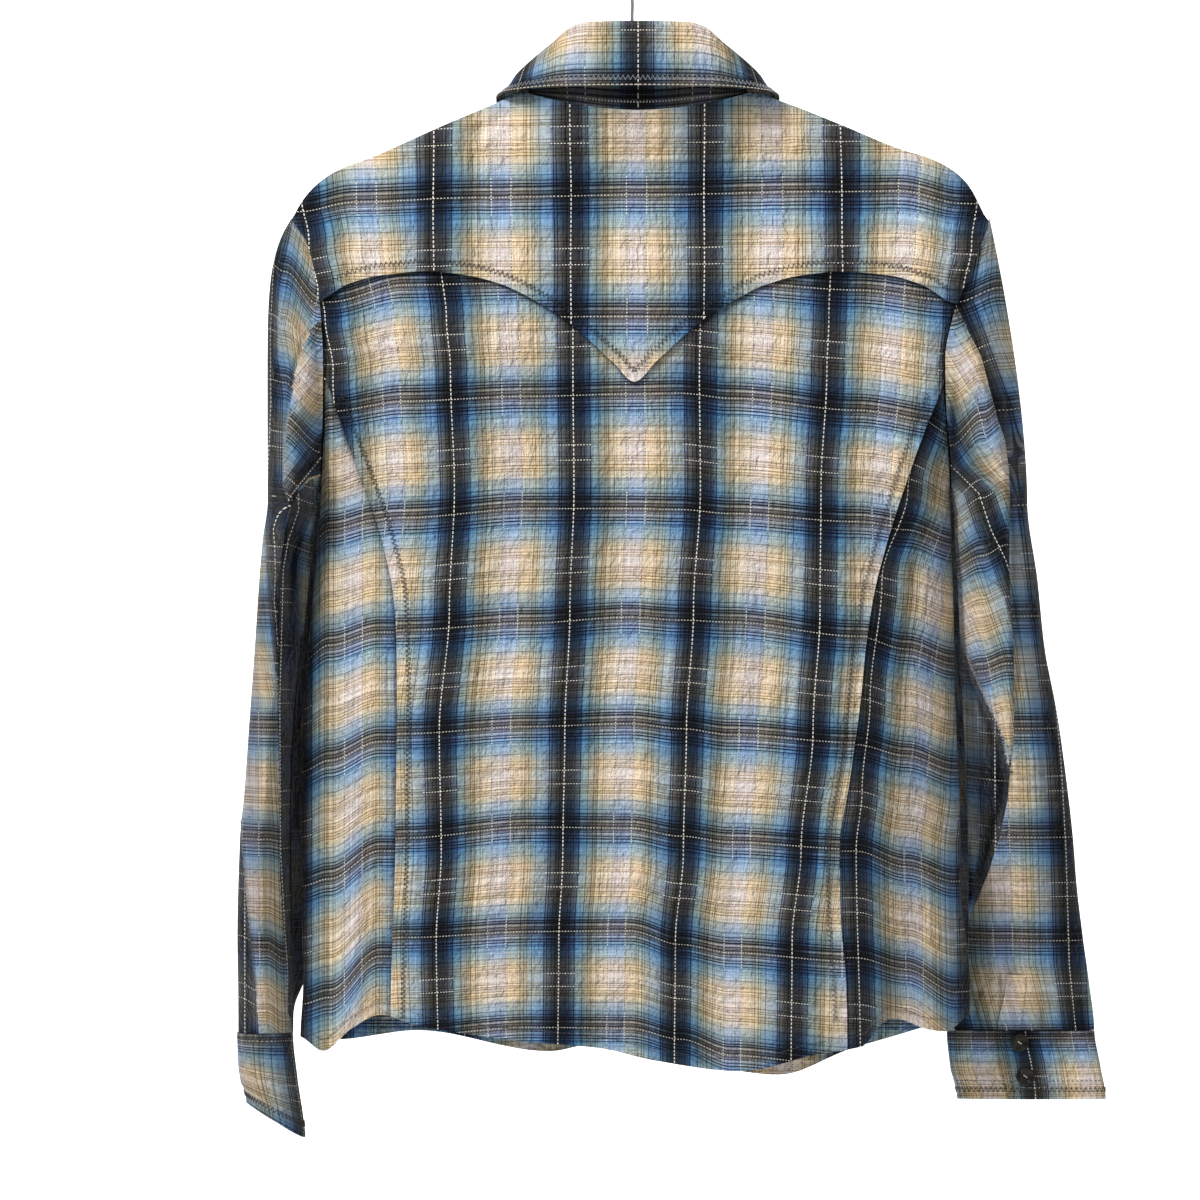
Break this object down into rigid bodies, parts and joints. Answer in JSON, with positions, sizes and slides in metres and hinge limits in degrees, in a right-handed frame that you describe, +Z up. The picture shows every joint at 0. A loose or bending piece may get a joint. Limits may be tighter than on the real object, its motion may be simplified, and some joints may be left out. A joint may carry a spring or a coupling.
{
  "type": "western shirt on a wire hanger",
  "caption": "Long-sleeved plaid western shirt with a pointed back yoke and buttoned cuffs, hung on a plain wire hanger.",
  "frame": {"origin": "inside top of the hanger's hook, where the rail touches it", "axes": "+Z up, -Y is the shirt's front, +X is the wearer's left"},
  "size_m": [0.602, 0.1362, 0.8265],
  "materials": {
    "plaid_cotton": "matte plaid cotton, lightly crinkled, in blues, navy, grey-brown and cream",
    "buttons": "glossy dark olive-brown with a ringed rim",
    "wire": "drawn steel wire"
  },
  "bodies": {
    "root": {"back_yoke": "plaid_cotton", "centre_back": "plaid_cotton", "side_back_left": "plaid_cotton", "side_back_right": "plaid_cotton", "front_left": "plaid_cotton", "front_right": "plaid_cotton", "button_band": "plaid_cotton", "collar_stand": "plaid_cotton", "collar_fall": "plaid_cotton", "sleeve_left": "plaid_cotton", "sleeve_right": "plaid_cotton", "placket_left": "plaid_cotton", "placket_right": "plaid_cotton", "cuff_left": "plaid_cotton", "cuff_right": "plaid_cotton", "cuff_button_left_1": "buttons", "cuff_button_left_2": "buttons", "cuff_button_right_1": "buttons", "cuff_button_right_2": "buttons", "front_button_1": "buttons", "front_button_2": "buttons", "front_button_3": "buttons", "front_button_4": "buttons", "front_button_5": "buttons", "front_button_6": "buttons", "front_button_7": "buttons", "hanger": "wire"}
  },
  "joints": []
}
